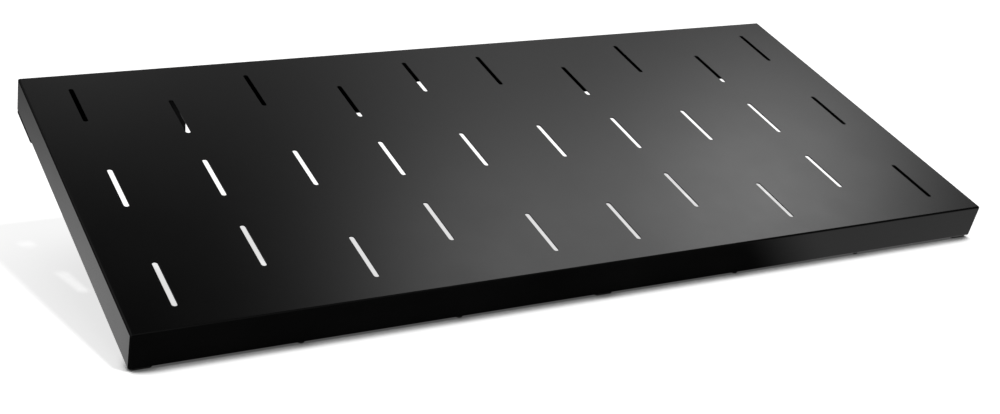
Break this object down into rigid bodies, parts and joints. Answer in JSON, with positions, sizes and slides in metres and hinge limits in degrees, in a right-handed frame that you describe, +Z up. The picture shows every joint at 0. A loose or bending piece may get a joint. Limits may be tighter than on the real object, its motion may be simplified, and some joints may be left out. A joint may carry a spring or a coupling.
{
  "type": "pedalboard",
  "caption": "Tilted folded-steel pedalboard with staggered rows of strap slots, low rubber front feet and folding rear legs held by clamp knobs.",
  "frame": {"origin": "centre of the bounding box, on the floor the board stands on", "axes": "+X along the board to the player's right, +Y from the low front edge to the raised rear edge, +Z up"},
  "size_m": [1, 0.4346, 0.1999],
  "materials": {
    "deck_steel": "satin black powder coat with a fine orange peel",
    "frame_steel": "satin black powder coat",
    "leg_steel": "satin black powder coat, scuffed near the foot",
    "pad_rubber": "matt",
    "foot_rubber": "matt, moulded",
    "black_screws": "black zinc",
    "zinc_steel": "bright zinc",
    "bush_bronze": "sintered bronze",
    "washer_nylon": "natural nylon",
    "knob_plastic": "fine moulded texture",
    "insert_brass": "turned"
  },
  "bodies": {
    "deck": {"deck_panel": "deck_steel", "stiffener_left": "frame_steel", "stiffener_centre": "frame_steel", "stiffener_right": "frame_steel", "corner_pad_left": "pad_rubber", "centre_pad": "pad_rubber", "corner_pad_right": "pad_rubber", "front_studs": "pad_rubber", "rear_plate_left": "frame_steel", "rear_plate_right": "frame_steel", "plate_screws": "black_screws", "plate_nuts": "zinc_steel", "leg_bracket_left": "frame_steel", "stop_pin_left": "zinc_steel", "pivot_bolt_left": "zinc_steel", "leg_bracket_right": "frame_steel", "stop_pin_right": "zinc_steel", "pivot_bolt_right": "zinc_steel"},
    "leg_left": {"leg_knuckle_left": "leg_steel", "leg_tube_left": "leg_steel", "pivot_bush_left": "bush_bronze", "friction_washers_left": "washer_nylon", "knuckle_pin_left": "zinc_steel", "foot_cap_left": "foot_rubber"},
    "leg_right": {"leg_knuckle_right": "leg_steel", "leg_tube_right": "leg_steel", "pivot_bush_right": "bush_bronze", "friction_washers_right": "washer_nylon", "knuckle_pin_right": "zinc_steel", "foot_cap_right": "foot_rubber"},
    "knob_left": {"clamp_knob_left": "knob_plastic", "knob_insert_left": "insert_brass", "knob_washer_left": "zinc_steel"},
    "knob_right": {"clamp_knob_right": "knob_plastic", "knob_insert_right": "insert_brass", "knob_washer_right": "zinc_steel"}
  },
  "joints": [
    {"name": "leg_left_fold", "type": "hinge", "parent": "deck", "child": "leg_left", "pos_m": [-0.332, 0.17465, 0.16636], "axis": [-1, 0, 0], "range_deg": [0, 77]},
    {"name": "leg_right_fold", "type": "hinge", "parent": "deck", "child": "leg_right", "pos_m": [0.332, 0.17465, 0.16636], "axis": [-1, 0, 0], "range_deg": [0, 77]},
    {"name": "knob_left_turn", "type": "hinge", "parent": "deck", "child": "knob_left", "pos_m": [-0.352, 0.17465, 0.16636], "axis": [-1, 0, 0], "range_deg": [0, 360]},
    {"name": "knob_right_turn", "type": "hinge", "parent": "deck", "child": "knob_right", "pos_m": [0.352, 0.17465, 0.16636], "axis": [1, 0, 0], "range_deg": [0, 360]}
  ]
}
